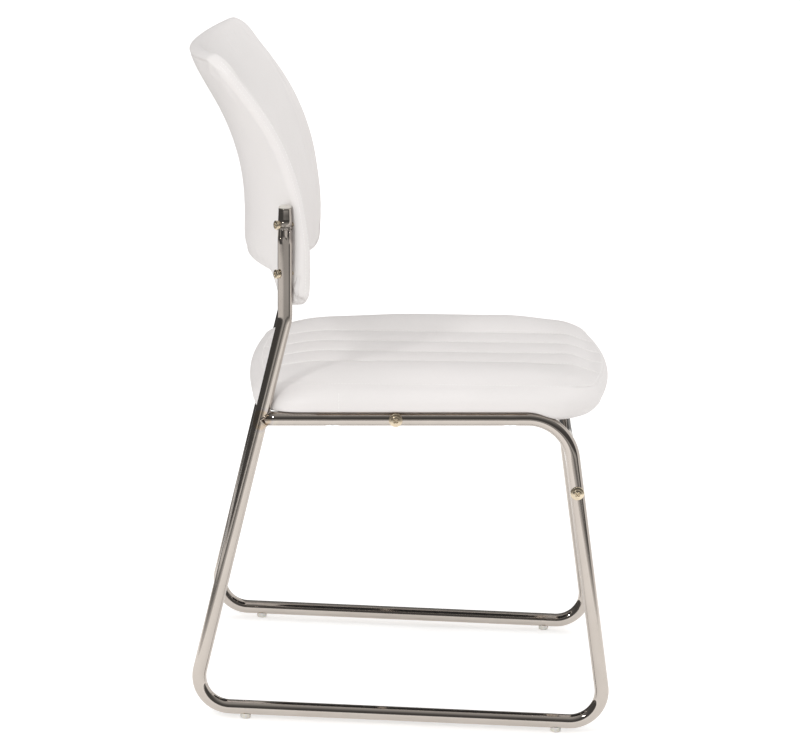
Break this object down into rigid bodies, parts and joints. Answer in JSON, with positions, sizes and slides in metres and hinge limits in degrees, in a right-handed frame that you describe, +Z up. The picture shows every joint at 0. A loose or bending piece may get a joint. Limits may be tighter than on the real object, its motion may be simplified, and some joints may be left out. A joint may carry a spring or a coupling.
{
  "type": "sled base visitor chair",
  "caption": "Visitor chair on two closed sled side frames of bent chrome tube, with a channelled vinyl seat and a wrap-round padded back.",
  "frame": {"origin": "on the floor under the middle of the chair's bounding box", "axes": "+Z up; the chair faces -Y; the sitter's right hand is at -X"},
  "size_m": [0.493, 0.596, 0.8798],
  "materials": {
    "chrome_tube": "bright chrome plated steel tube",
    "nickel_steel": "nickel plated, slightly warm",
    "zinc_steel": "zinc plated",
    "glide_nylon": "natural translucent nylon",
    "cap_plastic": "smooth moulded plastic",
    "vinyl": "warm off-white upholstery vinyl with a fine grain, over foam",
    "plywood": "bare plywood",
    "dust_cloth": "thin black non-woven cloth"
  },
  "bodies": {
    "root": {"side_frame_right": "chrome_tube", "side_frame_left": "chrome_tube", "front_cross_tube": "chrome_tube", "seat_cross_tube": "chrome_tube", "tube_cap_right": "cap_plastic", "tube_cap_left": "cap_plastic", "glide_front_right": "glide_nylon", "glide_front_left": "glide_nylon", "glide_rear_right": "glide_nylon", "glide_rear_left": "glide_nylon", "front_cross_insert_right": "zinc_steel", "front_cross_insert_left": "zinc_steel", "seat_cross_insert_right": "zinc_steel", "seat_cross_insert_left": "zinc_steel", "front_cross_bolt_right": "nickel_steel", "front_cross_bolt_left": "nickel_steel", "seat_cross_bolt_right": "nickel_steel", "seat_cross_bolt_left": "nickel_steel", "front_cross_washer_right": "nickel_steel", "front_cross_washer_left": "nickel_steel", "seat_cross_washer_right": "nickel_steel", "seat_cross_washer_left": "nickel_steel", "seat_board": "plywood", "seat_cushion": "vinyl", "seat_dust_cover": "dust_cloth", "seat_bolt_front_right": "zinc_steel", "seat_bolt_front_left": "zinc_steel", "seat_bolt_rear_right": "zinc_steel", "seat_bolt_rear_left": "zinc_steel", "seat_tee_nut_front_right": "zinc_steel", "seat_tee_nut_front_left": "zinc_steel", "seat_tee_nut_rear_right": "zinc_steel", "seat_tee_nut_rear_left": "zinc_steel", "back_board": "plywood", "back_cover": "vinyl", "back_front_pad": "vinyl", "back_bolt_upper_right": "nickel_steel", "back_bolt_upper_left": "nickel_steel", "back_bolt_lower_right": "nickel_steel", "back_bolt_lower_left": "nickel_steel", "back_washer_upper_right": "nickel_steel", "back_washer_upper_left": "nickel_steel", "back_washer_lower_right": "nickel_steel", "back_washer_lower_left": "nickel_steel", "back_tee_nut_upper_right": "zinc_steel", "back_tee_nut_upper_left": "zinc_steel", "back_tee_nut_lower_right": "zinc_steel", "back_tee_nut_lower_left": "zinc_steel"}
  },
  "joints": []
}
